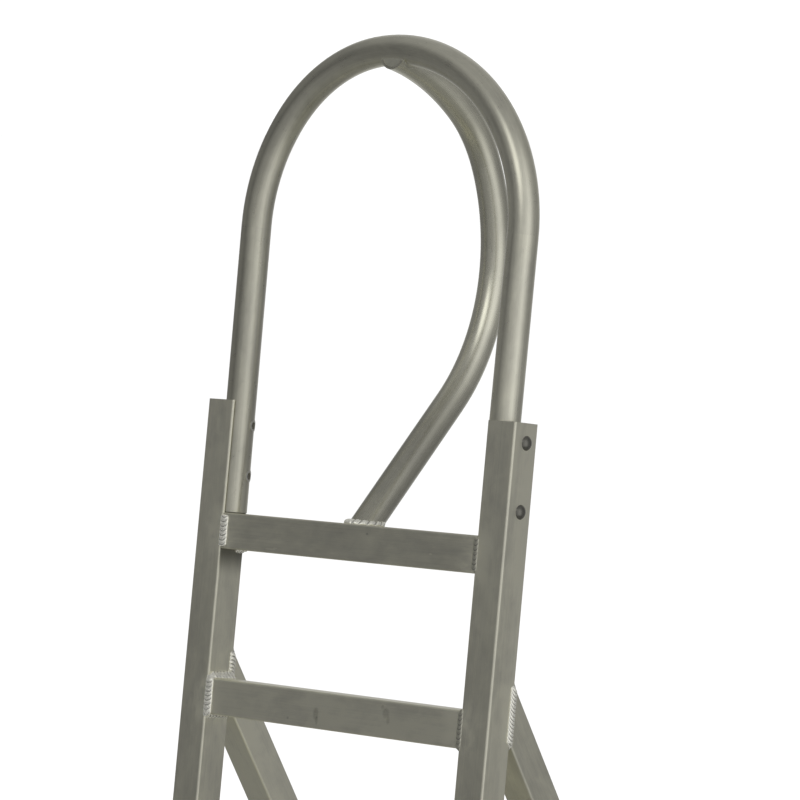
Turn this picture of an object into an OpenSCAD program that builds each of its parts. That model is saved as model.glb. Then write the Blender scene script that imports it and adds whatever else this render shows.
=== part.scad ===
// Boat boarding ladder: a welded frame of square aluminium tube on four
// pivoting feet, with a bent round handrail bolted into the tops of the
// stiles and a second grab tube that bows out behind it.
// Frame: X across the ladder, +Y away from the climber, +Z up, ground at 0.

/* [Square tube] */
// Outside width of the square tube of the stiles, rungs and rear legs
tube = 38.1; // [38.1:0.1:40]
// Wall of the square tube
tube_wall = 2.2; // [2:0.1:2.2]
// Outside corner radius of the square tube
tube_r = 2.6; // [1.5:0.1:3]
// Height of the rungs' section; its depth is the square tube's width
rung_h = 40; // [38.1:0.1:41]
// Width of the lighter square tube of the side ties
tie = 25.4; // [20:0.2:32]
// Wall of the lighter square tube
tie_wall = 2.4; // [2:0.1:3]

/* [Ladder] */
// Overall width over the two stiles
frame_w = 442; // [420:1:500]
// Distance from one rung's top to the next, along the stiles
pitch = 183; // [180:1:190]
// Lengths of the left and right stiles above the top rung's upper face
stile_top = [124.5, 121];
// How far each rung's front face sits back from the stile fronts
rung_set = 0.6; // [0.3:0.1:1]
// Backward lean of the stiles from vertical, in degrees
lean = 8; // [6:0.5:10]
// Height of the top rung's front edge above the ground
deck_h = 906; // [900:1:930]
// Angle of the rear legs from vertical, in degrees
leg_lean = 30; // [27:0.5:32]
// Height of the rear cross tube and side ties above the ground
base_h = 160; // [150:1:180]

/* [Handrail] */
// Outside diameter of the round pipe of the handrail and the grab tube
rail_d = 33.4; // [30:0.1:33.5]
// Wall of the pipe
rail_wall = 3; // [2:0.1:3.5]
// Distance of the left leg's foot from the ladder's middle
hoop_left = 188.1; // [185:0.1:191]
// Outward lean of each leg, in degrees
hoop_tilt = 0.44; // [0:0.02:0.6]
// Straight lengths of the left and right legs
hoop_leg = [319, 314.7];
// Radii of the three bends, from left to right
hoop_R = [203.8, 176.5, 197.9];
// Angles of the three bends, in degrees
hoop_a = [38.23, 44.22, 98.42];
// Gap under the handrail's legs, above the top rung
rail_gap = 0.8; // [0.3:0.1:2]
// Where the grab tube's centreline starts: depth, and height above the top rung
grab_start = [6.7, 508.1];
// Downward angle at which it starts, in degrees
grab_dip = 6.15; // [4:0.05:9]
// Radii of its three bends, from the crown down
grab_R = [273.3, 156.9, 234.7];
// Angles of its three bends, in degrees
grab_a = [26.9, 26.9, 70.4];

/* [Handrail bolts] */
// Depths of the left and right bolt lines behind the stile fronts
bolt_ys = [24.5, 21];
// Heights of the left stile's two bolts above the top rung
bolt_left = [42, 98];
// Heights of the right stile's two bolts above the top rung
bolt_right = [28, 100];
// Diameter of the bolt shank
bolt_d = 8; // [6:0.5:8]
// Diameter of the domed bolt head
head_d = 15.6; // [12:0.1:17]
// Height of the domed bolt head
head_h = 4.4; // [3:0.1:6]

/* [Feet] */
// Height of the foot's pivot above its base plate's upper face
pivot_up = 25; // [25:0.5:30]
// Thickness of the shoe's base plate and side ears
shoe_t = 4; // [3:0.5:5]
// Length of the shoe's base plate, front to back
shoe_len = 100; // [96:1:110]
// Distance between the shoe's two bolt holes
shoe_cc = 74; // [70:1:76]
// Diameter of the shoe's bolt holes
shoe_hole = 9; // [7:0.5:10]
// Thickness of the rubber pad
pad_t = 8; // [7:0.5:12]
// Diameter of the pivot pin
pin_d = 9.5; // [8:0.1:10]
// Radial running clearance of the pin in the shoe's ears
pin_run = 0.08; // [0.04:0.01:0.1]
// Length of tube below the pivot; its corners meet the base plate and stop the shoe
tail = 16.5; // [12:0.5:17]

/* [Hidden] */
$fn = 64;

// Stile centre and inner face, measured from the ladder's middle
stile_x = (frame_w - tube) / 2;
inner_x = frame_w / 2 - tube;
half = tube / 2;
rail_r = rail_d / 2;
// Step at the joins of a pipe's straight and bent lengths
seam = 0.03;
// Pivot height above the ground, and where it falls on each member
pivot_z = pad_t + shoe_t + pivot_up;
stile_pivot = (deck_h - pivot_z - half * sin(lean)) / cos(lean);
// Leg axis meets the stiles' rear face at the second rung's top
leg_top_y = tube * cos(lean) - pitch * sin(lean);
leg_top_z = deck_h - tube * sin(lean) - pitch * cos(lean);
leg_pivot = (leg_top_z - pivot_z) / cos(leg_lean);
front_y = half * cos(lean) - stile_pivot * sin(lean);
rear_y = leg_top_y + (leg_top_z - pivot_z) * tan(leg_lean);
// Puts the middle of the footprint on the origin
shift_y = -(front_y + rear_y) / 2;
// Handrail: how far its heading has turned from vertical at each bend's ends, and the bends' centres (x, z)
hoop_h = [-hoop_tilt, hoop_a[0] - hoop_tilt, hoop_a[0] + hoop_a[1] - hoop_tilt, hoop_a[0] + hoop_a[1] + hoop_a[2] - hoop_tilt];
hoop_c1 = [-hoop_left - hoop_leg[0] * sin(hoop_tilt) + hoop_R[0] * cos(hoop_tilt),
    rail_gap + hoop_leg[0] * cos(hoop_tilt) + hoop_R[0] * sin(hoop_tilt)];
hoop_c2 = hoop_c1 + (hoop_R[1] - hoop_R[0]) * [cos(hoop_h[1]), -sin(hoop_h[1])];
hoop_c3 = hoop_c2 + (hoop_R[2] - hoop_R[1]) * [cos(hoop_h[2]), -sin(hoop_h[2])];
hoop_c = [hoop_c1, hoop_c2, hoop_c3];
hoop_end = hoop_c3 + hoop_R[2] * [-cos(hoop_h[3]), sin(hoop_h[3])];
hoop_right = hoop_end[0] + hoop_leg[1] * sin(hoop_h[3]);
// Grab tube: its downward angle at each bend's ends, the bends' centres (y, z), and where it meets the top rung
grab_h = [grab_dip, grab_dip + grab_a[0], grab_dip + grab_a[0] + grab_a[1], grab_dip + grab_a[0] + grab_a[1] + grab_a[2]];
grab_c1 = grab_start - grab_R[0] * [sin(grab_h[0]), cos(grab_h[0])];
grab_c2 = grab_c1 + (grab_R[0] - grab_R[1]) * [sin(grab_h[1]), cos(grab_h[1])];
grab_c3 = grab_c2 + (grab_R[1] - grab_R[2]) * [sin(grab_h[2]), cos(grab_h[2])];
grab_c = [grab_c1, grab_c2, grab_c3];
grab_end = grab_c3 + grab_R[2] * [sin(grab_h[3]), cos(grab_h[3])];
grab_foot = grab_end[0] + grab_end[1] * cos(grab_h[3]) / sin(grab_h[3]);
ear_in = half + 0.5;
alu = [0.62, 0.62, 0.58];
alu_tube = [0.68, 0.67, 0.62];
alu_weld = [0.72, 0.72, 0.68];
zinc = [0.55, 0.55, 0.52];
rubber = [0.12, 0.12, 0.12];

// Ladder frame: x across, y back from the stile fronts, z up the stiles
module ladder() translate([0, shift_y, deck_h]) rotate([-lean, 0, 0]) children();
// Rear leg frame: -z runs down the leg from the second rung's level
module leg_frame() translate([0, shift_y + leg_top_y, leg_top_z]) rotate([leg_lean, 0, 0]) children();

// Filled square with round corners, centred
module rsq(w, h, r) {
    square([w - 2 * r, h], center = true);
    square([w, h - 2 * r], center = true);
    for (x = [-1, 1], y = [-1, 1]) translate([x * (w / 2 - r), y * (h / 2 - r)]) circle(r = r, $fn = 32);
}
// Section of the square tube
module tube_2d() difference() {
    rsq(tube, tube, tube_r);
    rsq(tube - 2 * tube_wall, tube - 2 * tube_wall, 1);
}
// Section of the lighter square tube
module tie_2d() difference() {
    rsq(tie, tie, 2);
    rsq(tie - 2 * tie_wall, tie - 2 * tie_wall, 0.8);
}
// Section of the round tube
module rail_2d() difference() {
    circle(r = rail_r);
    circle(r = rail_r - rail_wall);
}
// Section of a rung
module rung_2d() difference() {
    rsq(rung_h, tube, tube_r);
    rsq(rung_h - 2 * tube_wall, tube - 2 * tube_wall, 1);
}
// Cylinder along x between two x values
module xcyl(x0, x1, r) translate([x0, 0, 0]) rotate([0, 90, 0]) cylinder(r = r, h = x1 - x0);

function stile_up(side) = stile_top[side < 0 ? 0 : 1];
function bolt_at(side) = bolt_ys[side < 0 ? 0 : 1];
// Outer form of one stile, solid, in the ladder frame
module stile_outer(side) translate([side * stile_x, half, -stile_pivot - tail])
    linear_extrude(stile_up(side) + stile_pivot + tail) rsq(tube, tube, tube_r);

// One stile: its inner wall is cut away above the top rung for the handrail
module stile(side, bolts) color(alu) ladder() difference() {
    translate([side * stile_x, half, -stile_pivot - tail])
        linear_extrude(stile_up(side) + stile_pivot + tail) tube_2d();
    translate([side * (inner_x + tube_wall / 2) - tube_wall / 2 - 1, tube_wall, 0])
        cube([tube_wall + 2, tube - 2 * tube_wall, stile_up(side) + 1]);
    for (z = bolts) translate([side * (frame_w / 2 - tube_wall / 2), bolt_at(side), z])
        xcyl(-tube_wall, tube_wall, bolt_d / 2 + 0.2);
    translate([side * stile_x, half, -stile_pivot]) xcyl(-half - 1, half + 1, pin_d / 2 + pin_run);
}

// Outer form of one rung, solid, in the ladder frame
module rung_outer(k, extra = 0) translate([-inner_x - extra, rung_set + half, -(k - 1) * pitch - rung_h / 2])
    rotate([0, 90, 0]) linear_extrude(2 * (inner_x + extra)) rsq(rung_h, tube, tube_r);
module rung(k) color(alu) ladder() translate([-inner_x, rung_set + half, -(k - 1) * pitch - rung_h / 2])
    rotate([0, 90, 0]) linear_extrude(2 * inner_x) rung_2d();

// Bead laid around one end of a rung: caps on the front and rear seams,
// fillets above and below. The top rung has the handrail above, so no top fillet.
module weld_rung(k, side) color(alu_weld) ladder() mirror([side < 0 ? 1 : 0, 0, 0]) difference() {
    z1 = -(k - 1) * pitch;
    translate([inner_x, 0, 0]) union() {
        translate([0, 4.6, z1 - rung_h + 1]) cylinder(r = 6.1, h = rung_h - 2);
        translate([0, tube - 4.0, z1 - rung_h + 1]) cylinder(r = 6.1, h = rung_h - 2);
        translate([0, 2, z1 - rung_h]) rotate([-90, 0, 0]) cylinder(r = 4.6, h = tube - 3);
        if (k > 1) translate([0, 2, z1]) rotate([-90, 0, 0]) cylinder(r = 4.6, h = tube - 3);
    }
    translate([stile_x, half, z1 - rung_h - 20]) linear_extrude(rung_h + 40) rsq(tube, tube, tube_r);
    rung_outer(k);
}

// One bend of the handrail, longer by over degrees at each end, and the whole
// handrail, as solid forms of radius r. Every other length is a hair thinner and
// runs a little way into its neighbours, so that they join.
module hoop_bend(i, r, over = 0) translate([hoop_c[i][0], half, hoop_c[i][1]]) rotate([90, 0, 0])
    rotate([0, 0, 180 - hoop_h[i + 1] - over]) rotate_extrude(angle = hoop_a[i] + 2 * over, $fn = 128)
        translate([hoop_R[i], 0]) circle(r = r);
module hoop_form(r, more = 0) union() {
    translate([-hoop_left, half, rail_gap]) rotate([0, -hoop_tilt, 0]) translate([0, 0, -more]) cylinder(r = r, h = hoop_leg[0] + more);
    hoop_bend(0, r - seam, 0.06);
    hoop_bend(1, r);
    hoop_bend(2, r - seam, 0.06);
    translate([hoop_end[0], half, hoop_end[1]]) rotate([0, hoop_h[3], 0]) cylinder(r = r, h = hoop_leg[1] + more);
}
// Centre of a handrail leg at height z
function hoop_x(side, z) = side < 0 ? -hoop_left - (z - rail_gap) * tan(hoop_tilt) : hoop_right + (z - rail_gap) * tan(hoop_h[3] - 180);
// Bent handrail: two straight legs and three bends
module handrail_hoop() color(alu_tube) ladder() difference() {
    hoop_form(rail_r);
    hoop_form(rail_r - rail_wall, 1);
    for (s = [-1, 1]) for (z = s < 0 ? bolt_left : bolt_right) translate([hoop_x(s, z), bolt_at(s), z]) {
        xcyl(-rail_r - 1, rail_r + 1, bolt_d / 2 + 0.2);
        xcyl(s > 0 ? -rail_r - 1 : 0, s > 0 ? 0 : rail_r + 1, 5.3);
    }
}

// Grab tube: leaves the crown rearwards from under it, bends down and runs forward to the top rung
module grab_bend(i, r, over = 0) translate([0, grab_c[i][0], grab_c[i][1]]) rotate([90, 0, 90])
    rotate([0, 0, 90 - grab_h[i + 1] - over]) rotate_extrude(angle = grab_a[i] + 2 * over, $fn = 128)
        translate([grab_R[i], 0]) circle(r = r);
module grab_form(r, run) union() {
    grab_bend(0, r - seam, 0.06);
    grab_bend(1, r);
    grab_bend(2, r - seam, 0.06);
    translate([0, grab_end[0], grab_end[1]]) rotate([-90 - grab_h[3], 0, 0]) cylinder(r = r, h = run);
}
grab_run = grab_end[1] / sin(grab_h[3]) + 16;
// The tube is coped round the crown and over the top rung's rear edge
module rear_grab_tube() color(alu_tube) ladder() difference() {
    grab_form(rail_r, grab_run);
    grab_form(rail_r - rail_wall, grab_run + 1);
    hoop_bend(2, rail_r + 1.4);
    rung_outer(1, 1);
}
// Bead in the saddle where the grab tube meets the underside of the crown, and
// the weld metal that closes the tube's open front end below it
module weld_grab_crown() color(alu_weld) ladder() union() {
    difference() {
        intersection() {
            hoop_bend(2, rail_r + 2.6);
            grab_bend(0, rail_r + 0.8);
        }
        hoop_bend(2, rail_r);
        difference() {
            grab_bend(0, rail_r);
            hoop_bend(2, rail_r + 1.4);
        }
        translate([-40, -40, 504.5]) cube([80, 40 + half, 60]);
    }
    difference() {
        intersection() {
            grab_bend(0, rail_r - rail_wall - 0.02);
            translate([-30, -10, 480]) cube([60, 10 + grab_start[0] + 3, 50]);
        }
        hoop_bend(2, rail_r + 0.7);
    }
}
// Bead around the grab tube's foot, over the top rung's rear edge
module weld_grab_foot() color(alu_weld) ladder() difference() {
    intersection() {
        translate([0, grab_foot, 0]) rotate([-90 - grab_h[3], 0, 0]) translate([0, 0, -40]) cylinder(r = rail_r + 4, h = 58);
        translate([-30, rung_set + half, -rung_h / 2]) rotate([0, 90, 0]) linear_extrude(60)
            rsq(rung_h + 9, tube + 9, tube_r + 4.5);
    }
    translate([0, grab_foot, 0]) rotate([-90 - grab_h[3], 0, 0]) cylinder(r = rail_r + 0.03, h = 90, center = true);
    rung_outer(1, 1);
}

// Bolt that holds a handrail leg: domed head outside the stile
module rail_bolt(side, z) color(zinc) ladder() translate([side * frame_w / 2, bolt_at(side), z]) rotate([0, side > 0 ? 0 : 180, 0]) {
    R = (head_d * head_d / 4 + head_h * head_h) / (2 * head_h);
    rotate([90, 0, 90]) rotate_extrude() intersection() {
        translate([0, head_h - R]) circle(r = R, $fn = 128);
        square([head_d / 2, head_h + 1]);
    }
    xcyl(-(frame_w / 2 - abs(hoop_x(side, z)) + rail_r) + 3.6, 0.5, bolt_d / 2);
}

// Threaded insert in the inner wall of a handrail leg, its rim formed to the pipe
module rail_insert(side, z) color(zinc) ladder() difference() {
    translate([hoop_x(side, z), bolt_at(side), z]) rotate([0, side > 0 ? 180 : 0, 0]) intersection() {
        union() {
            xcyl(8, rail_r + 2, 5.2);
            difference() {
                xcyl(9, rail_r + 2, 6.6);
                translate([0, half - bolt_at(side), 0]) cylinder(r = rail_r + 0.12, h = 40, center = true);
            }
        }
        translate([0, half - bolt_at(side), 0]) cylinder(r = rail_r + 0.9, h = 40, center = true);
    }
    translate([hoop_x(side, z), bolt_at(side), z]) xcyl(-40, 40, bolt_d / 2 + 0.05);
}

// Rear leg: top end cut to lie against the stile's rear face
module rear_leg(side) color(alu) difference() {
    leg_frame() translate([side * stile_x, 0, -leg_pivot - tail]) linear_extrude(leg_pivot + tail + 70) tube_2d();
    ladder() translate([-frame_w, -400, -700]) cube([2 * frame_w, 400 + tube, 1000]);
    leg_frame() translate([side * stile_x, 0, -leg_pivot]) xcyl(-half - 1, half + 1, pin_d / 2 + pin_run);
}
// Outer form of a rear leg, solid
module rear_leg_outer(side) leg_frame() translate([side * stile_x, 0, -leg_pivot])
    linear_extrude(leg_pivot + 70) rsq(tube, tube, tube_r);
// Bead around a rear leg's top end
module weld_leg(side) color(alu_weld) difference() {
    c = half / sin(lean + leg_lean);
    ladder() translate([side * stile_x, tube, -pitch]) union() {
        for (x = [-1, 1]) translate([x * (half - 4.4), 0, -c]) cylinder(r = 6, h = 2 * c);
        for (z = [-c, c]) translate([0, 0, z]) xcyl(-half - 0.8, half + 0.8, 4.4);
    }
    ladder() stile_outer(side);
    rear_leg_outer(side);
    ladder() rung_outer(2);
}

// Cross tube between the rear legs, square with them
cross_z = -(leg_top_z - base_h) / cos(leg_lean);
module rear_cross_tube() color(alu) leg_frame() translate([-inner_x, 0, cross_z])
    rotate([90, 0, 90]) linear_extrude(2 * inner_x) tube_2d();
module weld_cross(side) color(alu_weld) leg_frame() difference() {
    translate([side * inner_x, 0, cross_z]) union() {
        for (y = [-1, 1]) translate([0, y * (half - 4.6), -half + 1]) cylinder(r = 6.1, h = tube - 2);
        for (z = [-1, 1]) translate([0, -half + 2, z * half]) rotate([-90, 0, 0]) cylinder(r = 4.6, h = tube - 4);
    }
    translate([side * stile_x, 0, cross_z - 60]) linear_extrude(120) rsq(tube, tube, tube_r);
    translate([-inner_x, 0, cross_z]) rotate([90, 0, 90]) linear_extrude(2 * inner_x) rsq(tube, tube, tube_r);
}

// Side tie: level tube between a stile and its rear leg
module side_tie(side) color(alu) difference() {
    translate([side * stile_x, shift_y - 160, base_h]) rotate([-90, 0, 0]) linear_extrude(620) tie_2d();
    ladder() translate([-frame_w, -400, -1000]) cube([2 * frame_w, 400 + tube, 700]);
    leg_frame() translate([-frame_w, -half, -900]) cube([2 * frame_w, 400, 700]);
}

// Feet. Shoe frame: origin on the pivot, base plate below
module at_foot(side, rear) translate([side * stile_x, shift_y + (rear ? rear_y : front_y), pivot_z]) children();
shoe_w = 2 * (ear_in + shoe_t);
module shoe_plan() difference() {
    rsq(shoe_w, shoe_len, 8);
    for (y = [-1, 1]) translate([0, y * shoe_cc / 2]) circle(d = shoe_hole);
}
module shoe(side, rear) color(alu) at_foot(side, rear) {
    translate([0, 0, -pivot_up - shoe_t]) linear_extrude(shoe_t) shoe_plan();
    for (s = [-1, 1]) translate([s * (ear_in + shoe_t / 2) - shoe_t / 2, 0, 0]) rotate([90, 0, 90])
        linear_extrude(shoe_t) difference() {
            union() {
                circle(r = 15);
                polygon([[-25, -pivot_up - 1], [25, -pivot_up - 1], [25, -pivot_up + 4], [13.6, 6.3], [-13.6, 6.3], [-25, -pivot_up + 4]]);
            }
            circle(r = pin_d / 2 + pin_run);
        }
}
module pad(side, rear) color(rubber) at_foot(side, rear) difference() {
    translate([0, 0, -pivot_z]) linear_extrude(pad_t) shoe_plan();
    for (i = [-5 : 5]) if (abs(i) != 4) translate([-shoe_w, i * 9 - 1.5, -pivot_z - 1]) cube([2 * shoe_w, 3, 4]);
}
// Pivot pin: headed on the outside, with a lock nut on the inside
module pin(side, rear) color(zinc) at_foot(side, rear) rotate([0, side > 0 ? 0 : 180, 0]) {
    translate([ear_in + shoe_t + 0.2, 0, 0]) rotate([90, 0, 90]) cylinder(d = 17, h = 5, $fn = 6);
    xcyl(-(ear_in + shoe_t) - 10, ear_in + shoe_t + 0.4, pin_d / 2);
}
module nut(side, rear) color(zinc) at_foot(side, rear) rotate([0, side > 0 ? 0 : 180, 0])
    translate([-(ear_in + shoe_t) - 8.2, 0, 0]) rotate([90, 0, 90]) difference() {
        union() {
            cylinder(d = 17, h = 8, $fn = 6);
            translate([0, 0, -1.6]) cylinder(r = 6.6, h = 2.6);
        }
        translate([0, 0, -3]) cylinder(r = pin_d / 2 + 0.05, h = 20);
    }

stile(-1, bolt_left);  // stile_left
stile(1, bolt_right);  // stile_right
rung(1);  // rung_1
rung(2);  // rung_2
rung(3);  // rung_3
rung(4);  // rung_4
rung(5);  // rung_5
handrail_hoop();
rear_grab_tube();
rear_leg(-1);  // rear_leg_left
rear_leg(1);  // rear_leg_right
rear_cross_tube();
side_tie(-1);  // side_tie_left
side_tie(1);  // side_tie_right
rail_bolt(-1, bolt_left[1]);  // rail_bolt_left_upper
rail_bolt(-1, bolt_left[0]);  // rail_bolt_left_lower
rail_bolt(1, bolt_right[1]);  // rail_bolt_right_upper
rail_bolt(1, bolt_right[0]);  // rail_bolt_right_lower
rail_insert(-1, bolt_left[1]);  // rail_insert_left_upper
rail_insert(-1, bolt_left[0]);  // rail_insert_left_lower
rail_insert(1, bolt_right[1]);  // rail_insert_right_upper
rail_insert(1, bolt_right[0]);  // rail_insert_right_lower
shoe(-1, false);  // shoe_front_left
shoe(1, false);  // shoe_front_right
shoe(-1, true);  // shoe_rear_left
shoe(1, true);  // shoe_rear_right
pad(-1, false);  // pad_front_left
pad(1, false);  // pad_front_right
pad(-1, true);  // pad_rear_left
pad(1, true);  // pad_rear_right
pin(-1, false);  // pin_front_left
pin(1, false);  // pin_front_right
pin(-1, true);  // pin_rear_left
pin(1, true);  // pin_rear_right
nut(-1, false);  // nut_front_left
nut(1, false);  // nut_front_right
nut(-1, true);  // nut_rear_left
nut(1, true);  // nut_rear_right
weld_rung(1, -1);  // weld_rung_1_left
weld_rung(1, 1);  // weld_rung_1_right
weld_rung(2, -1);  // weld_rung_2_left
weld_rung(2, 1);  // weld_rung_2_right
weld_rung(3, -1);  // weld_rung_3_left
weld_rung(3, 1);  // weld_rung_3_right
weld_rung(4, -1);  // weld_rung_4_left
weld_rung(4, 1);  // weld_rung_4_right
weld_rung(5, -1);  // weld_rung_5_left
weld_rung(5, 1);  // weld_rung_5_right
weld_leg(-1);  // weld_leg_left
weld_leg(1);  // weld_leg_right
weld_cross(-1);  // weld_cross_left
weld_cross(1);  // weld_cross_right
weld_grab_crown();
weld_grab_foot();
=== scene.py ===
import math

import bmesh
import bpy
from mathutils import Matrix, Vector, noise


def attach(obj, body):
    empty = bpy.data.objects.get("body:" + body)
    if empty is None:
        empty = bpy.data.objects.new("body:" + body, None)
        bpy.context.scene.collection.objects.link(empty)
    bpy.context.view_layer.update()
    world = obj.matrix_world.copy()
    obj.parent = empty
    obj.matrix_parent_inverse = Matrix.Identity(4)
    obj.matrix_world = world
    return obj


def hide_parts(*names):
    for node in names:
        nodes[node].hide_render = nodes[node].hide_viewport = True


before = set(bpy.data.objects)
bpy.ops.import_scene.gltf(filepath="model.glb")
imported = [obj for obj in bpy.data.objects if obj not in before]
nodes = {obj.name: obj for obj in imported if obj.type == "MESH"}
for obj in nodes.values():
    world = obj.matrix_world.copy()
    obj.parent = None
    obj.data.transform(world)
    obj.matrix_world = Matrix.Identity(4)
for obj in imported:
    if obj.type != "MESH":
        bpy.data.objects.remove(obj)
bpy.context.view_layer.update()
scene = bpy.context.scene

# ---------------------------------------------------------------- dimensions, in millimetres
TUBE, R_TUBE, RUNG_SET, PITCH = 38.1, 2.6, 0.6, 183.0
HALF = TUBE / 2
FRAME_W = 442.0
INNER_X = FRAME_W / 2 - TUBE
STILE_X = (FRAME_W - TUBE) / 2
LEAN, LEG = math.radians(8), math.radians(30)
DECK_H, PIVOT_Z, BASE_H, TIE = 906.0, 37.0, 160.0, 25.4
RUNG_H = 40.0
RAIL_R = 16.7
HOOP_X, HOOP_TILT, HOOP_LEG, HOOP_GAP = -188.1, 0.44, 319.0, 0.8
HOOP_R, HOOP_A = (203.8, 176.5, 197.9), (38.23, 44.22, 98.42)
GRAB_Y, GRAB_Z, GRAB_DIP = 6.7, 508.1, 6.15
GRAB_R, GRAB_A = (273.3, 156.9, 234.7), (26.9, 26.9, 70.4)
STILE_PIVOT = (DECK_H - PIVOT_Z - HALF * math.sin(LEAN)) / math.cos(LEAN)
LEG_TOP_Y = TUBE * math.cos(LEAN) - PITCH * math.sin(LEAN)
LEG_TOP_Z = DECK_H - TUBE * math.sin(LEAN) - PITCH * math.cos(LEAN)
FRONT_Y = HALF * math.cos(LEAN) - STILE_PIVOT * math.sin(LEAN)
REAR_Y = LEG_TOP_Y + (LEG_TOP_Z - PIVOT_Z) * math.tan(LEG)
SHIFT_Y = -(FRONT_Y + REAR_Y) / 2
CROSS_Z = -(LEG_TOP_Z - BASE_H) / math.cos(LEG)


def bends(turn, first, radii, angles, normal):
    """Heading at each bend's ends and the bends' centres, for a path of arcs that touch."""
    h = [math.radians(turn)]
    for a in angles:
        h.append(h[-1] + math.radians(a))
    c = [Vector(first)]
    for i in range(1, len(radii)):
        c.append(c[-1] + (radii[i] - radii[i - 1]) * Vector(normal(h[i])))
    return h, c


_t = math.radians(HOOP_TILT)
HOOP_H, HOOP_C = bends(-HOOP_TILT, (HOOP_X - HOOP_LEG * math.sin(_t) + HOOP_R[0] * math.cos(_t), HOOP_GAP + HOOP_LEG * math.cos(_t) + HOOP_R[0] * math.sin(_t)),
                       HOOP_R, HOOP_A, lambda h: (math.cos(h), -math.sin(h)))
_d = math.radians(GRAB_DIP)
GRAB_H, GRAB_C = bends(GRAB_DIP, (GRAB_Y - GRAB_R[0] * math.sin(_d), GRAB_Z - GRAB_R[0] * math.cos(_d)),
                       GRAB_R, GRAB_A, lambda h: (-math.sin(h), -math.cos(h)))
GRAB_END = GRAB_C[2] + GRAB_R[2] * Vector((math.sin(GRAB_H[3]), math.cos(GRAB_H[3])))
GRAB_FOOT = GRAB_END[0] + GRAB_END[1] * math.cos(GRAB_H[3]) / math.sin(GRAB_H[3])

# Ladder frame (x across, y back from the stile fronts, z up the stiles) and rear leg frame, to metres
MM = Matrix.Scale(0.001, 4)
LADDER = MM @ Matrix.Translation((0, SHIFT_Y, DECK_H)) @ Matrix.Rotation(-LEAN, 4, "X")
LEGS = MM @ Matrix.Translation((0, SHIFT_Y + LEG_TOP_Y, LEG_TOP_Z)) @ Matrix.Rotation(LEG, 4, "X")

# ---------------------------------------------------------------- camera
cam_data = bpy.data.cameras.new("camera")
cam_data.lens, cam_data.sensor_width, cam_data.sensor_fit = 176.15, 36.0, "HORIZONTAL"
cam_data.clip_start, cam_data.clip_end = 0.1, 400
camera = bpy.data.objects.new("camera", cam_data)
scene.collection.objects.link(camera)
right = Vector((0.75273, 0.658328, -0.001355)).normalized()
back = Vector((0.65659, -0.750586, 0.0742136)).normalized()
up = back.cross(right).normalized()
right = up.cross(back)
cam_m = Matrix.Identity(4)
for i in range(3):
    cam_m[i][0], cam_m[i][1], cam_m[i][2] = right[i], up[i], back[i]
cam_m.translation = Vector((2.794960, -3.259486, 1.349739))
camera.matrix_world = cam_m
scene.camera = camera
scene.view_settings.view_transform = "Standard"
scene.view_settings.look = "None"


# ---------------------------------------------------------------- node helpers
class Nodes:
    def __init__(self, tree):
        self.t = tree
        self.x = 0

    def new(self, kind, **props):
        n = self.t.nodes.new(kind)
        n.location = (self.x, 0)
        self.x += 180
        for k, v in props.items():
            setattr(n, k, v)
        return n

    def link(self, a, b):
        self.t.links.new(a, b)

    def put(self, socket, v):
        if isinstance(v, bpy.types.NodeSocket):
            self.link(v, socket)
        else:
            socket.default_value = v

    def m(self, op, a, b=0.0, c=0.0, clamp=False):
        n = self.new("ShaderNodeMath", operation=op, use_clamp=clamp)
        for i, v in enumerate((a, b, c)):
            self.put(n.inputs[i], v)
        return n.outputs[0]

    def rng(self, v, a, b, c, d, smooth=False):
        n = self.new("ShaderNodeMapRange", interpolation_type="SMOOTHSTEP" if smooth else "LINEAR")
        self.put(n.inputs[0], v)
        for i, x in enumerate((a, b, c, d)):
            self.put(n.inputs[i + 1], x)
        return n.outputs[0]

    def mix(self, f, a, b, kind="RGBA"):
        n = self.new("ShaderNodeMix", data_type=kind)
        off = {"FLOAT": 2, "VECTOR": 4, "RGBA": 6}[kind]
        self.put(n.inputs[0], f)
        self.put(n.inputs[off], a)
        self.put(n.inputs[off + 1], b)
        return n.outputs[{"FLOAT": 0, "VECTOR": 1, "RGBA": 2}[kind]]

    def noise(self, vec, scale, detail=2.0, rough=0.5, dist=0.0):
        n = self.new("ShaderNodeTexNoise")
        self.put(n.inputs["Vector"], vec)
        n.inputs["Scale"].default_value = scale
        n.inputs["Detail"].default_value = detail
        n.inputs["Roughness"].default_value = rough
        n.inputs["Distortion"].default_value = dist
        return n.outputs["Fac"]

    def xyz(self, v):
        n = self.new("ShaderNodeSeparateXYZ")
        self.put(n.inputs[0], v)
        return n.outputs

    def vec(self, x, y, z):
        n = self.new("ShaderNodeCombineXYZ")
        for i, v in enumerate((x, y, z)):
            self.put(n.inputs[i], v)
        return n.outputs[0]

    def scale(self, v, s):
        n = self.new("ShaderNodeVectorMath", operation="MULTIPLY")
        self.put(n.inputs[0], v)
        n.inputs[1].default_value = s
        return n.outputs[0]


def material(name):
    mat = bpy.data.materials.new(name)
    mat.use_nodes = True
    mat.node_tree.nodes.clear()
    n = Nodes(mat.node_tree)
    out = n.new("ShaderNodeOutputMaterial")
    bsdf = n.new("ShaderNodeBsdfPrincipled")
    n.link(bsdf.outputs[0], out.inputs[0])
    return mat, n, bsdf


def local(n, frame_matrix):
    """Coordinates in millimetres in the ladder's or the leg's own frame."""
    tc = n.new("ShaderNodeTexCoord")
    inv = frame_matrix.inverted()
    rot = inv.to_3x3()
    rot = Matrix([r.normalized() for r in rot])
    mp = n.new("ShaderNodeMapping", vector_type="POINT")
    n.link(tc.outputs["Object"], mp.inputs["Vector"])
    mp.inputs["Scale"].default_value = (1000, 1000, 1000)
    mp.inputs["Rotation"].default_value = rot.to_euler("XYZ")
    mp.inputs["Location"].default_value = inv.translation
    return mp.outputs[0]


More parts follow.
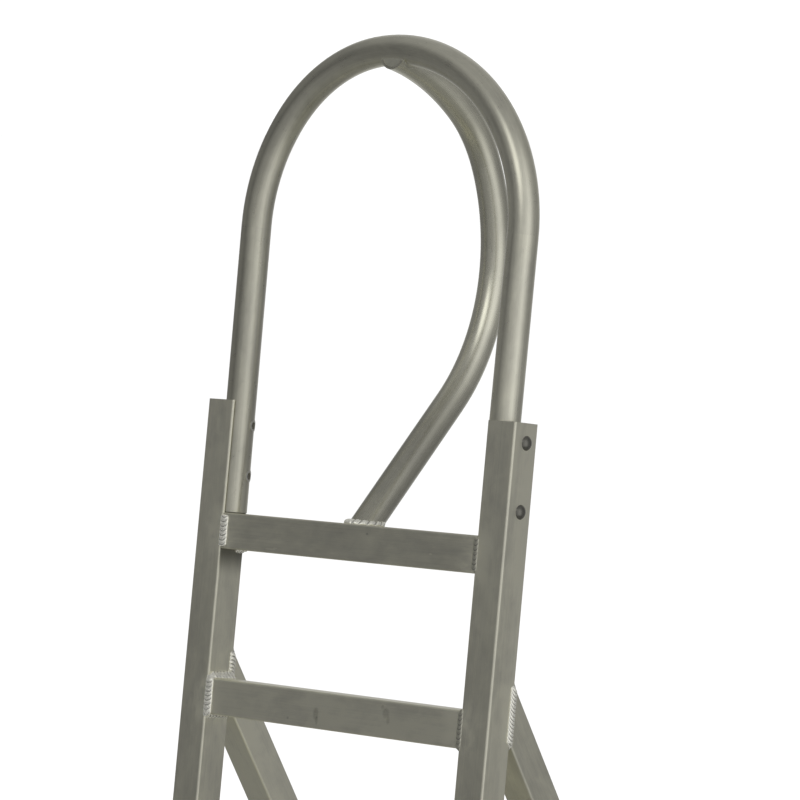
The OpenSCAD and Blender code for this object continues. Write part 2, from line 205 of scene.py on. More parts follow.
ALU = (0.79, 0.775, 0.655)


def around(n, a, b, centre, radius, hoop):
    """Distance out from a bend's centreline, and the heading there, for a point (a, b) in the bend's plane."""
    da, db = n.m("SUBTRACT", a, centre[0]), n.m("SUBTRACT", b, centre[1])
    rad = n.m("SQRT", n.m("ADD", n.m("MULTIPLY", da, da), n.m("MULTIPLY", db, db)))
    ang = n.m("ARCTAN2", db, n.m("MULTIPLY", da, -1.0)) if hoop else n.m("ARCTAN2", da, db)
    return n.m("SUBTRACT", rad, radius), n.m("FLOORED_MODULO", n.m("ADD", ang, 0.5), 2 * math.pi)


def chain(n, a, b, heads, centres, radii, hoop):
    across, run, start = None, None, 0.0
    for i in range(3):
        off, ang = around(n, a, b, centres[i], radii[i], hoop)
        arc = n.m("MULTIPLY_ADD", n.m("SUBTRACT", ang, heads[i] + 0.5), radii[i], start)
        if across is None:
            across, run = off, arc
        else:
            past = n.m("GREATER_THAN", ang, heads[i] + 0.5)
            across, run = n.mix(past, across, off, "FLOAT"), n.mix(past, run, arc, "FLOAT")
        start += radii[i] * (heads[i + 1] - heads[i])
    return across, run, start


def hoop_path(n, x, z):
    across, run, _ = chain(n, x, z, HOOP_H, HOOP_C, HOOP_R, True)
    low = n.m("LESS_THAN", z, 317.0)
    side = n.m("SIGN", x)
    leg = n.m("SUBTRACT", n.m("ABSOLUTE", x), n.m("MULTIPLY_ADD", z, 0.0077, 189.2))
    return n.mix(low, across, leg, "FLOAT"), n.mix(low, run, n.m("MULTIPLY_ADD", side, 900.0, z), "FLOAT")


def grab_path(n, y, z):
    across, run, start = chain(n, y, z, GRAB_H, GRAB_C, GRAB_R, False)
    dy, dz = n.m("SUBTRACT", y, GRAB_END[0]), n.m("SUBTRACT", z, GRAB_END[1])
    c, t = math.cos(GRAB_H[3]), math.sin(GRAB_H[3])
    line = n.m("ADD", n.m("MULTIPLY", dy, t), n.m("MULTIPLY", dz, c))
    far = n.m("SUBTRACT", n.m("MULTIPLY", dy, c), n.m("MULTIPLY", dz, t))
    past = n.m("GREATER_THAN", far, 0.0)
    low = n.m("MULTIPLY", past, n.m("LESS_THAN", z, 240.0))
    return n.mix(low, across, line, "FLOAT"), n.mix(low, run, n.m("ADD", far, start), "FLOAT")


def spots(n, u, v, marks):
    """Sum of soft ellipses (centre u, v, half sizes, strength) on a face."""
    total = 0.0
    for cu, cv, ru, rv, k in marks:
        a = n.m("DIVIDE", n.m("SUBTRACT", u, cu), ru)
        b = n.m("DIVIDE", n.m("SUBTRACT", v, cv), rv)
        d = n.m("SQRT", n.m("ADD", n.m("MULTIPLY", a, a), n.m("MULTIPLY", b, b)))
        total = n.m("ADD", total, n.rng(d, 0.45, 1.0, k, 0.0, True))
    return total


def metal(name, frame_matrix, along, rough=0.42, colour=ALU, lines=1.0, halo=None, seed=0.0, marks=(), level=None):
    """Satin aluminium: drawing lines along one axis, cloudy tone, light scratches, brushed zones beside welds."""
    mat, n, bsdf = material(name)
    p = local(n, frame_matrix)
    x, y, z = n.xyz(p)
    if along == "x":
        q = n.vec(z, y, x)
    elif along == "y":
        q = n.vec(x, z, y)
    elif along == "hoop":
        across, run = hoop_path(n, x, z)
        q = n.vec(across, y, run)
    elif along == "grab":
        across, run = grab_path(n, y, z)
        q = n.vec(across, x, run)
    else:
        q = n.vec(x, y, z)
    off = n.new("ShaderNodeVectorMath", operation="ADD")
    n.put(off.inputs[0], q)
    off.inputs[1].default_value = (seed * 37.1, seed * 11.7, seed * 401.3)
    q = off.outputs[0]

    die = n.noise(n.scale(q, (0.9, 0.9, 0.006)), 1.0, 3.0, 0.6)
    die_fine = n.noise(n.scale(q, (3.2, 3.2, 0.012)), 1.0, 2.0, 0.55)
    cloud = n.noise(n.scale(q, (0.03, 0.03, 0.012)), 1.0, 3.0, 0.55, 0.6)
    smudge = n.noise(n.scale(q, (0.09, 0.09, 0.05)), 1.0, 4.0, 0.62, 0.8)
    grit = n.noise(n.scale(q, (1.4, 1.4, 1.1)), 1.0, 3.0, 0.6)
    # short scratches, nearly along the tube
    tilt = n.new("ShaderNodeMapping")
    n.link(q, tilt.inputs["Vector"])
    tilt.inputs["Rotation"].default_value = (0.06, -0.08, 0.5)
    sc = n.noise(n.scale(tilt.outputs[0], (1.6, 1.6, 0.035)), 1.0, 1.0, 0.4)
    scratch = n.rng(sc, 0.72, 0.76, 0.0, 1.0)
    # fine brushed texture from handling
    tone = n.m("ADD", n.m("MULTIPLY", n.m("SUBTRACT", cloud, 0.5), 0.46), n.m("MULTIPLY", n.m("SUBTRACT", smudge, 0.5), 0.22))
    tone = n.m("ADD", tone, n.m("MULTIPLY", n.m("SUBTRACT", die, 0.5), 0.24))
    tone = n.m("ADD", tone, 1.0)
    bright = n.m("ADD", tone, n.m("MULTIPLY", scratch, 0.10))
    r = n.m("ADD", rough, n.m("MULTIPLY", n.m("SUBTRACT", smudge, 0.5), 0.14))
    r = n.m("ADD", r, n.m("MULTIPLY", n.m("SUBTRACT", die, 0.5), 0.08))
    if halo:
        near = halo(n, x, y, z)
        ragged = n.m("MULTIPLY", near, n.rng(smudge, 0.35, 0.6, 0.35, 1.0), clamp=True)
        bright = n.m("ADD", bright, n.m("MULTIPLY", ragged, 0.14))
        r = n.m("ADD", r, n.m("MULTIPLY", ragged, 0.10))
    if level:
        bright = n.m("MULTIPLY", bright, level(n, x, y, z))
    if marks:
        front = n.m("LESS_THAN", y, 3.0)
        dirt = n.m("MULTIPLY", spots(n, x, z, marks), front)
        ragged = n.m("MULTIPLY", dirt, n.rng(grit, 0.35, 0.6, 0.7, 1.1))
        bright = n.m("SUBTRACT", bright, ragged)
        r = n.m("ADD", r, n.m("MULTIPLY", ragged, 0.2))
    bright = n.m("MINIMUM", bright, 1.22)
    base = n.new("ShaderNodeVectorMath", operation="MULTIPLY")
    base.inputs[0].default_value = colour
    n.put(base.inputs[1], n.vec(bright, bright, n.m("ADD", bright, n.m("MULTIPLY", n.m("SUBTRACT", cloud, 0.5), -0.06))))
    n.link(base.outputs[0], bsdf.inputs["Base Color"])
    n.put(bsdf.inputs["Roughness"], n.m("MINIMUM", n.m("MAXIMUM", r, 0.12), 0.9))
    bsdf.inputs["Metallic"].default_value = 1.0
    h = n.m("ADD", n.m("MULTIPLY", die, 0.5 * lines), n.m("MULTIPLY", die_fine, 0.3 * lines))
    h = n.m("ADD", h, n.m("MULTIPLY", grit, 0.28))
    h = n.m("SUBTRACT", h, n.m("MULTIPLY", scratch, 0.5))
    b = n.new("ShaderNodeBump")
    b.inputs["Strength"].default_value = 0.35
    b.inputs["Distance"].default_value = 0.00006
    n.link(h, b.inputs["Height"])
    n.link(b.outputs[0], bsdf.inputs["Normal"])
    return mat


def rung_halo(n, x, y, z):
    """1 beside the welds between stiles and rungs, 0 away from them."""
    dx = n.m("MULTIPLY", n.m("SUBTRACT", n.m("ABSOLUTE", x), INNER_X), 0.8)
    dy = n.m("MULTIPLY", n.m("SUBTRACT", y, HALF), 0.35)
    dz = n.m("SUBTRACT", n.m("FLOORED_MODULO", n.m("ADD", z, RUNG_H / 2 + PITCH / 2), PITCH), PITCH / 2)
    dz = n.m("MULTIPLY", n.m("MAXIMUM", n.m("SUBTRACT", n.m("ABSOLUTE", dz), 12.0), 0.0), 1.0)
    d = n.m("SQRT", n.m("ADD", n.m("ADD", n.m("MULTIPLY", dx, dx), n.m("MULTIPLY", dy, dy)), n.m("MULTIPLY", dz, dz)))
    below = n.rng(z, 20.0, 40.0, 1.0, 0.0)
    return n.m("MULTIPLY", n.rng(d, 6.0, 26.0, 1.0, 0.0, True), below)




def stile_painted_light(n, x, y, z):
    """Painted shadow where the top rung shades the stiles' inner faces; painted highlight brightening the outer faces
    towards their rear edge; painted light making the stiles brighter towards the top.
    """
    inside = n.m("LESS_THAN", n.m("ABSOLUTE", x), INNER_X + 0.6)
    # painted shadow under the top rung on the stiles' inner faces
    under = n.m("MULTIPLY", n.rng(z, -RUNG_H - 34, -RUNG_H - 1, 0.0, 1.0, True), n.m("LESS_THAN", z, -RUNG_H + 3))
    shade = n.m("MULTIPLY", n.m("MULTIPLY", inside, under), 0.84)
    outside = n.m("GREATER_THAN", n.m("ABSOLUTE", x), FRAME_W / 2 - 0.6)
    # painted highlight along the outer faces' rear edge
    rim_highlight = n.m("MULTIPLY", outside, n.rng(y, 14.0, 36.0, 0.0, 0.16, True))
    # painted light: brighter towards the top
    top = n.rng(z, -150.0, 70.0, 1.07, 1.18)
    return n.m("ADD", n.m("SUBTRACT", top, shade), rim_highlight)


def hoop_painted_light(n, x, y, z):
    # painted light: the hoop brighter towards its right side, nearer the soft light
    return n.m("ADD", n.rng(x, -190.0, 90.0, 0.86, 1.03), n.rng(x, 150.0, 196.0, 0.0, 0.06))


def grab_painted_light(n, x, y, z):
    # painted light: the grab tube darker towards its foot and brighter above, with its highlight toned down from
    # about 300 mm up and partly restored above 450 mm
    upper = n.m("MULTIPLY", n.rng(z, 270.0, 345.0, 1.0, 0.78), n.rng(z, 430.0, 480.0, 1.0, 1.15))
    return n.m("MULTIPLY", n.rng(z, 90.0, 250.0, 0.74, 1.2, True), upper)


def rung_painted_light(n, x, y, z):
    # painted highlight: the rungs' upper faces are a little brighter; the rungs are also brighter lower down
    over = n.m("LESS_THAN", n.m("FLOORED_MODULO", n.m("ADD", z, 0.8), PITCH), 1.6)
    return n.m("ADD", n.rng(z, -170.0, -60.0, 1.17, 1.04), n.m("MULTIPLY", n.m("MULTIPLY", over, n.m("GREATER_THAN", y, 3.0)), 0.2))


M_STILE = metal("square_tube_stile", LADDER, "z", rough=0.44, halo=rung_halo, level=stile_painted_light)
M_RUNG = metal("square_tube_rung", LADDER, "x", rough=0.44, halo=rung_halo, seed=1.0, level=rung_painted_light, marks=[
    (-20, -207, 5, 9, 0.34), (-18, -214, 2.5, 6, 0.25), (79, -196, 6, 7, 0.30), (83, -203, 3, 6, 0.22), (74, -190, 3, 3, 0.2),
    (-108, -35.5, 9, 1.3, -0.35), (-101, -34.2, 4, 1.1, -0.3), (30, -9, 2.2, 1.6, 0.25), (-60, -215, 2, 2, 0.2), (121, -24, 3, 1.2, -0.25)])
M_LEG = metal("square_tube_leg", LEGS, "z", rough=0.44, seed=2.0, level=lambda n, x, y, z: n.rng(x, -150.0, 150.0, 1.22, 1.06))
M_CROSS = metal("square_tube_cross", LEGS, "x", rough=0.44, seed=3.0)
M_TIE = metal("square_tube_tie", MM, "y", rough=0.46, seed=4.0)
M_HOOP = metal("round_tube_hoop", LADDER, "hoop", rough=0.30, lines=0.7, seed=5.0, level=hoop_painted_light)
M_GRAB = metal("round_tube_grab", LADDER, "grab", rough=0.27, lines=0.7, seed=6.0, level=grab_painted_light)
M_SHOE = metal("shoe_plate", MM, "y", rough=0.48, lines=0.8, seed=7.0)


def steel(name, colour, rough):
    mat, n, bsdf = material(name)
    tc = n.new("ShaderNodeTexCoord")
    p = n.scale(tc.outputs["Object"], (1000, 1000, 1000))
    a = n.noise(p, 0.35, 3.0, 0.6)
    b = n.noise(p, 2.4, 3.0, 0.6)
    ring = n.new("ShaderNodeVectorMath", operation="MULTIPLY")
    ring.inputs[0].default_value = colour
    t = n.m("ADD", 0.86, n.m("MULTIPLY", a, 0.28))
    n.put(ring.inputs[1], n.vec(t, t, t))
    n.link(ring.outputs[0], bsdf.inputs["Base Color"])
    n.put(bsdf.inputs["Roughness"], n.m("ADD", rough - 0.06, n.m("MULTIPLY", b, 0.14)))
    bsdf.inputs["Metallic"].default_value = 1.0
    bp = n.new("ShaderNodeBump")
    bp.inputs["Strength"].default_value = 0.25
    bp.inputs["Distance"].default_value = 0.00005
    n.link(b, bp.inputs["Height"])
    n.link(bp.outputs[0], bsdf.inputs["Normal"])
    return mat


M_BOLT = steel("bolt_steel", (0.24, 0.235, 0.21), 0.27)
M_INSERT = steel("insert_steel", (0.80, 0.79, 0.72), 0.3)
M_PIN = steel("pin_steel", (0.62, 0.61, 0.56), 0.3)


def rubber():
    mat, n, bsdf = material("pad_rubber")
    tc = n.new("ShaderNodeTexCoord")
    p = n.scale(tc.outputs["Object"], (1000, 1000, 1000))
    a = n.noise(p, 0.08, 4.0, 0.6)
    b = n.noise(p, 1.8, 3.0, 0.7)
    col = n.mix(n.rng(a, 0.3, 0.7, 0.0, 1.0), (0.018, 0.018, 0.019, 1), (0.045, 0.044, 0.042, 1))
    n.link(col, bsdf.inputs["Base Color"])
    n.put(bsdf.inputs["Roughness"], n.rng(b, 0.3, 0.7, 0.55, 0.8))
    bp = n.new("ShaderNodeBump")
    bp.inputs["Strength"].default_value = 0.5
    bp.inputs["Distance"].default_value = 0.0002
    n.link(b, bp.inputs["Height"])
    n.link(bp.outputs[0], bsdf.inputs["Normal"])
    return mat


M_RUBBER = rubber()


def weld_metal(name, colour, metallic, rough):
    mat, n, bsdf = material(name)
    tc = n.new("ShaderNodeTexCoord")
    p = n.scale(tc.outputs["Object"], (1000, 1000, 1000))
    a = n.noise(p, 0.25, 3.0, 0.6)
    b = n.noise(p, 1.6, 3.0, 0.65)
    t = n.m("ADD", n.m("ADD", 0.90, n.m("MULTIPLY", a, 0.22)), n.m("MULTIPLY", b, 0.08))
    c = n.new("ShaderNodeVectorMath", operation="MULTIPLY")
    c.inputs[0].default_value = colour
    # painted shade: the valleys between ripples are darkened by their pointiness
    geo = n.new("ShaderNodeNewGeometry")
    valley_shade = n.rng(geo.outputs["Pointiness"], 0.465, 0.525, 0.30, 1.12)
    t = n.m("MULTIPLY", t, valley_shade)
    n.put(c.inputs[1], n.vec(t, t, t))
    n.link(c.outputs[0], bsdf.inputs["Base Color"])
    n.put(bsdf.inputs["Roughness"], n.rng(b, 0.3, 0.7, rough - 0.07, rough + 0.07))
    bsdf.inputs["Metallic"].default_value = metallic
    bp = n.new("ShaderNodeBump")
    bp.inputs["Strength"].default_value = 0.3
    bp.inputs["Distance"].default_value = 0.00012
    n.link(b, bp.inputs["Height"])
    n.link(bp.outputs[0], bsdf.inputs["Normal"])
    return mat


M_WELD = weld_metal("weld_bead", (0.84, 0.83, 0.75), 0.82, 0.25)
M_WELD_DULL = weld_metal("weld_bead_dull", (0.76, 0.75, 0.64), 1.0, 0.4)


def paint(node, mat):
    for s in nodes[node].material_slots:
        s.material = mat


for name in nodes:
    if name.startswith("stile_"):
        paint(name, M_STILE)
    elif name.startswith("rung_"):
        paint(name, M_RUNG)
    elif name.startswith("rear_leg"):
        paint(name, M_LEG)
    elif name == "rear_cross_tube":
        paint(name, M_CROSS)
    elif name.startswith("side_tie"):
        paint(name, M_TIE)
    elif name == "handrail_hoop":
        paint(name, M_HOOP)
    elif name == "rear_grab_tube":
        paint(name, M_GRAB)
    elif name.startswith("shoe_"):
        paint(name, M_SHOE)
    elif name.startswith("pad_"):
        paint(name, M_RUBBER)
    elif name.startswith("rail_bolt"):
        paint(name, M_BOLT)
    elif name.startswith("rail_insert"):
        paint(name, M_INSERT)
    elif name.startswith(("pin_", "nut_")):
        paint(name, M_PIN)
    elif name.startswith("weld_"):
        paint(name, M_WELD_DULL if name == "weld_grab_crown" else M_WELD)


# ---------------------------------------------------------------- weld beads
def lerp(a, b, t):
    return a + (b - a) * t


def stations_along(points, step):
    """Resamples control stations (P, A, B, N, bulge) evenly along the root line."""
    out = []
    for i in range(len(points) - 1):
        p, q = points[i], points[i + 1]
        d = (q[0] - p[0]).length
        k = max(1, round(max(d, (q[1] - p[1]).length * 0.6) / step))
        for j in range(k):
            t = j / k
            out.append(tuple(lerp(a, b, t) for a, b in zip(p, q)))
    out.append(points[-1])
    return out


def add_bead(bm, points, matrix, pitch=4.5, amp=0.5, closed=False, seed=1.0, chevron=0.7, lean=0.35, end=4.0, step=0.42):
    """One closed shell of weld metal along a root line, with overlapping crescents like a stack of coins.
    A and B run from the root to the two toes, N points out of the joint."""
    st = stations_along(points, step)
    run, s = [0.0], 0.0
    for a, b in zip(st, st[1:]):
        s += max((b[0] - a[0]).length, 0.12)
        run.append(s)
    total = run[-1]
    count = max(1, round(total / pitch))
    pitch = total / count
    top, low = 15, 6
    rings = []
    last = len(st) - (1 if closed else 0)
    for i in range(last):
        P, A, B, N, bulge = st[i]
        N = N.normalized()
        s = run[i]
        fade = 1.0
        if not closed:
            e = min(s, total - s)
            fade = math.sqrt(max(0.02, 1 - max(0.0, (end - e) / end) ** 2))
        wob = noise.noise(Vector((s * 0.11, seed * 7.3, 1.7)))
        k = int(s / pitch)
        jit = noise.noise(Vector((k * 3.17, seed * 3.1, 9.2)))
        ring = []
        for j in range(top):
            tau = j / (top - 1)
            t = 2 * tau - 1
            ph = s / pitch - chevron * (1 - t * t) + 0.10 * wob + 5.0
            f = ph - math.floor(ph)
            crest = (math.sin(math.pi * f ** (1 - lean))) ** 0.6
            edge = max(0.0, 1 - abs(t) ** 2.4)
            w = (1 + 0.07 * (crest - 0.6) * abs(t) + 0.05 * wob + 0.03 * jit) * (0.55 + 0.45 * fade)
            h = (bulge * edge + amp * (1 + 0.5 * jit) * (crest - 0.55) * edge ** 0.5) * fade
            ring.append(P + (A * (1 - tau) + B * tau) * w + N * h)
        for j in range(low):
            u = 1 - (j + 0.5) / low
            arm = B * (2 * u - 1) if u > 0.5 else A * (1 - 2 * u)
            ring.append(P + arm * 0.93 * (0.55 + 0.45 * fade) - N * 0.9)
        rings.append([bm.verts.new(matrix @ v) for v in ring])
    size = top + low
    pairs = list(zip(rings, rings[1:])) + ([(rings[-1], rings[0])] if closed else [])
    for a, b in pairs:
        for j in range(size):
            bm.faces.new((a[j], a[(j + 1) % size], b[(j + 1) % size], b[j]))
    if not closed:
        bm.faces.new(rings[0][::-1])
        bm.faces.new(rings[-1])


def finish_piece(bm, name, mat, node, body="frame"):
    bmesh.ops.recalc_face_normals(bm, faces=bm.faces)
    me = bpy.data.meshes.new(name)
    bm.to_mesh(me)
    bm.free()
    me.materials.append(mat)
    for p in me.polygons:
        p.use_smooth = True
    ob = bpy.data.objects.new(name, me)
    scene.collection.objects.link(ob)
    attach(ob, body)
    if node:
        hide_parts(*([node] if isinstance(node, str) else node))
    return ob


V = Vector


def rung_loop(k, side):
    """Root line and toes around the end of rung k, in the ladder frame, from its front top corner down and round."""
    arm_s, arm_r, fil, bulge = (3.4, 8.2, 4.4, 2.0) if side < 0 else (3.0, 4.6, 3.0, 0.9)
    x = side * INNER_X
    z1, z0 = -(k - 1) * PITCH, -(k - 1) * PITCH - RUNG_H
    yf, yr = RUNG_SET, RUNG_SET + TUBE
    out, inn = V((side, 0, 0)), V((-side, 0, 0))
    r = R_TUBE
    stations = {
        # name: (P, A toe on the stile, B toe on the rung, N, bulge)
        "front_top": (V((x, yf, z1 - r)), out * arm_s + V((0, -0.5, 0.6)), inn * arm_r, V((0, -1, 0)), bulge),
        "front_low": (V((x, yf, z0 + r)), out * arm_s + V((0, -0.5, -0.6)), inn * arm_r, V((0, -1, 0)), bulge),
        "corner_low": (V((x, yf + 0.8, z0 + 0.8)), out * 2.0 + V((0, -1.5, -2.6)), inn * (arm_r - 1), V((-side * 0.3, -1, -1)), bulge * 0.8),
        "low_front": (V((x, yf + r + 1.5, z0)), V((0, 0, -fil)), inn * fil, V((-side, 0, -1)), 0.5),
        "low_rear": (V((x, yr - r - 2.5, z0)), V((0, 0, -fil)), inn * fil, V((-side, 0, -1)), 0.5),
        "corner_low_rear": (V((x, yr - 1.2, z0 + 0.8)), out * 1.6 + V((0, 1.2, -2.6)), inn * (arm_r - 1), V((-side * 0.3, 1, -1)), bulge * 0.8),
        "rear_low": (V((x, TUBE, z0 + r)), out * arm_s + V((0, 0.1, -0.4)), inn * (arm_r - 1) + V((0, 0.5, 0)), V((0, 1, 0)), bulge),
        "rear_top": (V((x, TUBE, z1 - r)), out * arm_s + V((0, 0.1, 0.4)), inn * (arm_r - 1) + V((0, 0.5, 0)), V((0, 1, 0)), bulge),
        "corner_top_rear": (V((x, yr - 1.2, z1 - 0.8)), out * 1.6 + V((0, 1.2, 2.6)), inn * (arm_r - 1), V((-side * 0.3, 1, 1)), bulge * 0.8),
        "top_rear": (V((x, yr - r - 2.5, z1)), V((0, 0, fil)), inn * fil, V((-side, 0, 1)), 0.5),
        "top_front": (V((x, yf + r + 1.5, z1)), V((0, 0, fil)), inn * fil, V((-side, 0, 1)), 0.5),
        "corner_top": (V((x, yf + 0.8, z1 - 0.8)), out * 2.0 + V((0, -1.5, 2.6)), inn * (arm_r - 1), V((-side * 0.3, -1, 1)), bulge * 0.8),
    }
    return stations


def weld_rung(k, side):
    bm = bmesh.new()
    st = rung_loop(k, side)
    sd = k * 2 + (side > 0)
    amp = 1.15 if side < 0 else 0.5
    if k == 1:
        front = ["front_top", "front_low"]
        P, A, B, N, bulge = st["low_front"]
        st["low_mid"] = (P + V((0, 20, 0)), A * 0.8, B * 0.8, N, bulge)
        add_bead(bm, [st[n] for n in front], LADDER, pitch=4.8, amp=amp, seed=sd)
        add_bead(bm, [st[n] for n in ("rear_top", "rear_low", "corner_low_rear", "low_rear", "low_mid")], LADDER, pitch=4.8, amp=amp, seed=sd + 0.4)
    else:
        if k == 2 and side < 0:
            for key, arm in (("top_rear", 9.0), ("top_front", 7.5)):
                P, A, B, N, bulge = st[key]
                st[key] = (P, A.normalized() * arm, B.normalized() * arm, N, 1.4)
        loop = ["front_top", "front_low", "corner_low", "low_front", "low_rear", "corner_low_rear", "rear_low", "rear_top",
                "corner_top_rear", "top_rear", "top_front", "corner_top", "front_top"]
        add_bead(bm, [st[n] for n in loop], LADDER, pitch=4.8, amp=amp, seed=sd, closed=True)
    name = f"weld_rung_{k}_{'left' if side < 0 else 'right'}"
    finish_piece(bm, "bead_" + name[5:], M_WELD if side < 0 else M_WELD_DULL, name)


for k in range(1, 6):
    for side in (-1, 1):
        weld_rung(k, side)


def weld_leg(side):
    """Loop around a rear leg's top end, on the stile's rear face."""
    c = HALF / math.sin(LEAN + LEG)
    x0, x1 = STILE_X - HALF, STILE_X + HALF
    X = lambda v: side * v
    zt, zb = -PITCH + c, -PITCH - c
    a = LEAN + LEG
    down = V((0, math.sin(a), -math.cos(a)))  # along the leg, in the ladder frame
    pts = []
    for x, o in ((x1, 1), (x0, -1)):
        N = V((side * o, 0, 0))
        seq = [(V((X(x), TUBE, zt - 3)), V((0, -6.2, 0.8)), down * 6.4, N, 2.2),
               (V((X(x), TUBE, zb + 4)), V((0, -6.2, -0.8)), down * 6.4, N, 2.2)]
        pts.append(seq if o > 0 else seq[::-1])
    top_a, top_b = V((0, 0, 4.6)), down * 4.6
    top = [(V((X(x0 + 3)), TUBE, zt)) if False else V((X(x0 + 3), TUBE, zt)), top_a, top_b, V((0, 1, 0.35)), 0.8], [V((X(x1 - 3), TUBE, zt)), top_a, top_b, V((0, 1, 0.35)), 0.8]
    low_a, low_b = V((0, 0, -5.5)), down * 6.5
    low = [V((X(x1 - 3), TUBE, zb)), low_a, low_b, V((0, 0.35, -1)), 0.2], [V((X(x0 + 3), TUBE, zb)), low_a, low_b, V((0, 0.35, -1)), 0.2]
    loop = [pts[0][0], pts[0][1], tuple(low[0]), tuple(low[1]), pts[1][0], pts[1][1], tuple(top[0]), tuple(top[1]), pts[0][0]]
    bm = bmesh.new()
    add_bead(bm, loop, LADDER, pitch=4.1, amp=1.05, closed=True, seed=20 + side)
    name = f"weld_leg_{'left' if side < 0 else 'right'}"
    finish_piece(bm, "bead_" + name[5:], M_WELD, name)


for side in (-1, 1):
    weld_leg(side)


def weld_foot():
    """Ring of large blobs around the grab tube's foot, on the top rung and over its rear edge."""
    c, t = math.cos(GRAB_H[3]), math.sin(GRAB_H[3])
    d = V((0, c, -t))
    e2 = V((0, t, c))
    rear = RUNG_SET + TUBE
    pts = []
    for i in range(25):
        th = 2 * math.pi * i / 24
        q = V((0, GRAB_FOOT, 0)) + RAIL_R * (math.cos(th) * V((1, 0, 0)) + math.sin(th) * e2)
        top = q + d * (q.z / t)
        if top.y <= rear - 1.2:
            P, out, up = top, V((math.cos(th), math.sin(th) / t, 0)).normalized(), V((0, 0, 1))
            P.z = 0.1
        else:
            P = q + d * ((q.y - rear) / -c)
            P.y = rear - 0.1
            out, up = V((math.cos(th) + 0.0, 0, -max(0.2, math.sin(th)))).normalized(), V((0, 1, 0))
            if P.z > -1.2:
                P = V((P.x, rear - 0.8, -0.8))
                out, up = V((math.cos(th), 0.5, -0.5)).normalized(), V((0, 1, 1)).normalized()
        pts.append((P, out * 4.6, -d * 6.2, (out + up).normalized(), 1.9))
    bm = bmesh.new()
    add_bead(bm, pts, LADDER, pitch=7.2, amp=1.9, closed=True, seed=31, chevron=0.15, lean=0.1)
    finish_piece(bm, "bead_grab_foot", M_WELD, "weld_grab_foot")


weld_foot()

# ---------------------------------------------------------------- studio
def stage_plane():
    bm = bmesh.new()
    s = 150
    bmesh.ops.create_grid(bm, x_segments=1, y_segments=1, size=s)
    me = bpy.data.meshes.new("floor")
    bm.to_mesh(me)
    bm.free()
    mat, n, bsdf = material("floor_paper")
    tc = n.new("ShaderNodeTexCoord")
    a = n.noise(tc.outputs["Object"], 0.6, 3.0, 0.6)
    n.link(n.mix(a, (0.94, 0.94, 0.94, 1), (0.96, 0.96, 0.955, 1)), bsdf.inputs["Base Color"])
    bsdf.inputs["Roughness"].default_value = 0.95
    bsdf.inputs["Specular IOR Level"].default_value = 0.1
    me.materials.append(mat)
    ob = bpy.data.objects.new("floor", me)
    scene.collection.objects.link(ob)
    ob.visible_glossy = False


stage_plane()

world = bpy.data.worlds.new("studio")
scene.world = world
world.use_nodes = True
bg = world.node_tree.nodes["Background"]
bg.inputs[0].default_value = (1, 1, 1, 1)
bg.inputs[1].default_value = 1.12
world.cycles_visibility.glossy = False

# What the metal reflects: a grey studio with one tall soft light to the right.
# Level by heading, in degrees from -Y towards +X.
HEADINGS = [(-180, .30), (-150, .52), (-130, .50), (-110, .20), (-90, .165), (-60, .175), (-50, .15), (-42, .10), (-34, .14), (-26, .20), (-10, .24),
            (8, .27), (24, .33), (38, .45), (52, .54), (66, .62), (78, .76), (86, .70), (98, .56), (108, .40), (120, .27),
            (140, .235), (160, .20), (180, .30)]


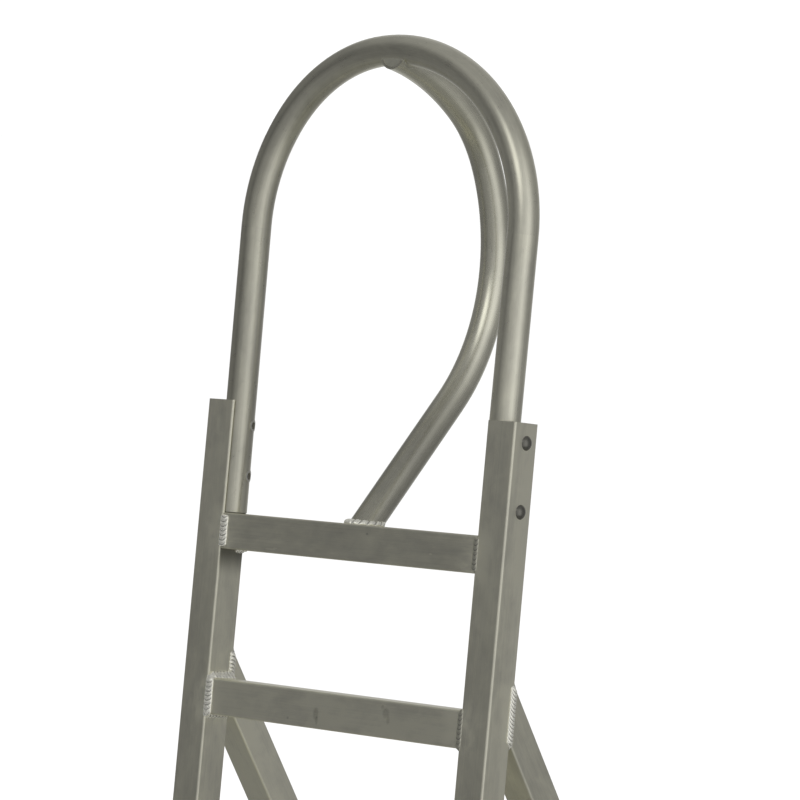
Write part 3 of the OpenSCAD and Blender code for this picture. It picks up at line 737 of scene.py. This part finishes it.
def dome():
    bm = bmesh.new()
    bmesh.ops.create_icosphere(bm, subdivisions=4, radius=60)
    me = bpy.data.meshes.new("studio_dome")
    bm.to_mesh(me)
    bm.free()
    mat = bpy.data.materials.new("studio_dome")
    mat.use_nodes = True
    mat.node_tree.nodes.clear()
    n = Nodes(mat.node_tree)
    out = n.new("ShaderNodeOutputMaterial")
    em = n.new("ShaderNodeEmission")
    n.link(em.outputs[0], out.inputs[0])
    tc = n.new("ShaderNodeTexCoord")
    unit = n.new("ShaderNodeVectorMath", operation="NORMALIZE")
    n.link(tc.outputs["Object"], unit.inputs[0])
    x, y, z = n.xyz(unit.outputs[0])
    heading = n.m("ARCTAN2", x, n.m("MULTIPLY", y, -1.0))
    f = n.rng(heading, -math.pi, math.pi, 0.0, 1.0)
    ramp = n.new("ShaderNodeValToRGB")
    n.link(f, ramp.inputs[0])
    cr = ramp.color_ramp
    cr.interpolation = "LINEAR"
    while len(cr.elements) > 1:
        cr.elements.remove(cr.elements[-1])
    for i, (deg, v) in enumerate(HEADINGS):
        pos = (deg + 180) / 360
        e = cr.elements[0] if i == 0 else cr.elements.new(pos)
        e.position = pos
        e.color = (v, v, v, 1)
    el = n.m("DEGREES", n.m("ARCSINE", z)) if False else n.m("MULTIPLY", n.m("ARCSINE", z), 180 / math.pi)
    up = n.rng(el, 24, 60, 0.0, 1.0, True)
    dn = n.rng(el, -22, -55, 0.0, 1.0, True)
    col = n.mix(up, ramp.outputs[0], (0.30, 0.30, 0.30, 1))
    col = n.mix(dn, col, (0.20, 0.20, 0.19, 1))
    # upper front light
    c = V((math.sin(math.radians(18)) * math.cos(math.radians(34)), -math.cos(math.radians(18)) * math.cos(math.radians(34)), math.sin(math.radians(34))))
    dot = n.new("ShaderNodeVectorMath", operation="DOT_PRODUCT")
    n.link(unit.outputs[0], dot.inputs[0])
    dot.inputs[1].default_value = c
    spot = n.rng(dot.outputs["Value"], math.cos(math.radians(19)), math.cos(math.radians(8)), 0.0, 1.0, True)
    col = n.mix(spot, col, (1.1, 1.1, 1.08, 1))
    n.link(col, em.inputs[0])
    em.inputs[1].default_value = 1.0
    me.materials.append(mat)
    ob = bpy.data.objects.new("studio_dome", me)
    scene.collection.objects.link(ob)
    ob.location = (0, 0, 0.9)
    ob.visible_camera = ob.visible_diffuse = ob.visible_shadow = False
    ob.visible_transmission = ob.visible_volume_scatter = False
    mat.cycles.emission_sampling = "NONE"


dome()


def area(name, place, aim, size, power, glossy=False):
    d = bpy.data.lights.new(name, "AREA")
    d.shape, d.size, d.size_y, d.energy = "RECTANGLE", size[0], size[1], power
    ob = bpy.data.objects.new(name, d)
    scene.collection.objects.link(ob)
    ob.location = place
    ob.rotation_mode = "QUATERNION"
    ob.rotation_quaternion = (V(aim) - V(place)).to_track_quat("-Z", "Y")
    ob.visible_glossy = glossy
    ob.visible_camera = False
    return ob


area("key_soft", (2.6, -1.2, 2.8), (0, 0, 0.6), (2.0, 2.0), 60)
